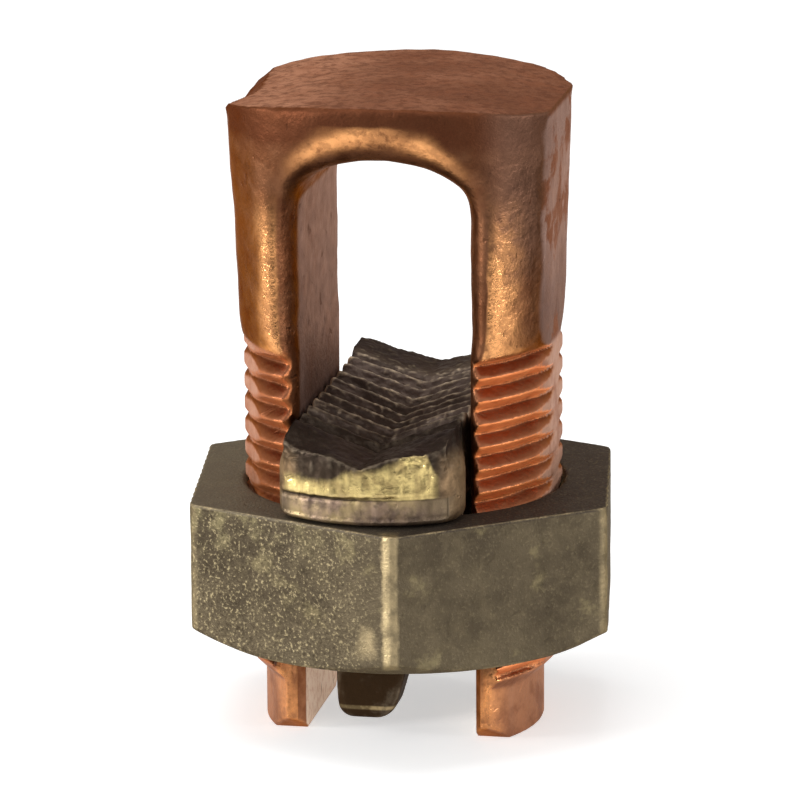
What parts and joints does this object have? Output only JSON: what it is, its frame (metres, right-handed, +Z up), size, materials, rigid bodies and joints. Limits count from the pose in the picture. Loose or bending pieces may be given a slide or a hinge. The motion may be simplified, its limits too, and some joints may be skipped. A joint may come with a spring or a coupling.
{
  "type": "split-bolt connector",
  "caption": "Split-bolt wire connector: a forged copper yoke with threaded legs, a hex nut and a ridged pressure bar that clamps the conductors laid in its slot.",
  "frame": {"origin": "on the bolt's axis, level with the two leg ends that it stands on", "axes": "+Z up the bolt's axis towards the crossbar, X across the two legs, Y along the conductor slot"},
  "size_m": [0.0306, 0.0326, 0.0453],
  "materials": {
    "copper": "aged forged copper",
    "nut_bronze": "dull cast bronze, worn bright on its edges",
    "bar_bronze": "dark tarnished bronze with a bright sheared end"
  },
  "bodies": {
    "bolt": {"split_bolt": "copper"},
    "bar": {"pressure_bar": "bar_bronze"},
    "nut": {"hex_nut": "nut_bronze"}
  },
  "joints": [
    {"name": "bar_slide", "type": "slide", "parent": "bolt", "child": "bar", "axis": [0, 0, 1], "range_m": [-0.007, 0.0095]},
    {"name": "nut_turn", "type": "hinge", "parent": "bar", "child": "nut", "pos_m": [0, 0, 0.0121], "axis": [0, 0, 1], "range_deg": [-1587, 2154]}
  ],
  "couplings": [
    {"joint": "bar_slide", "follows": "nut_turn", "m_per_rad": 0.00025266}
  ]
}
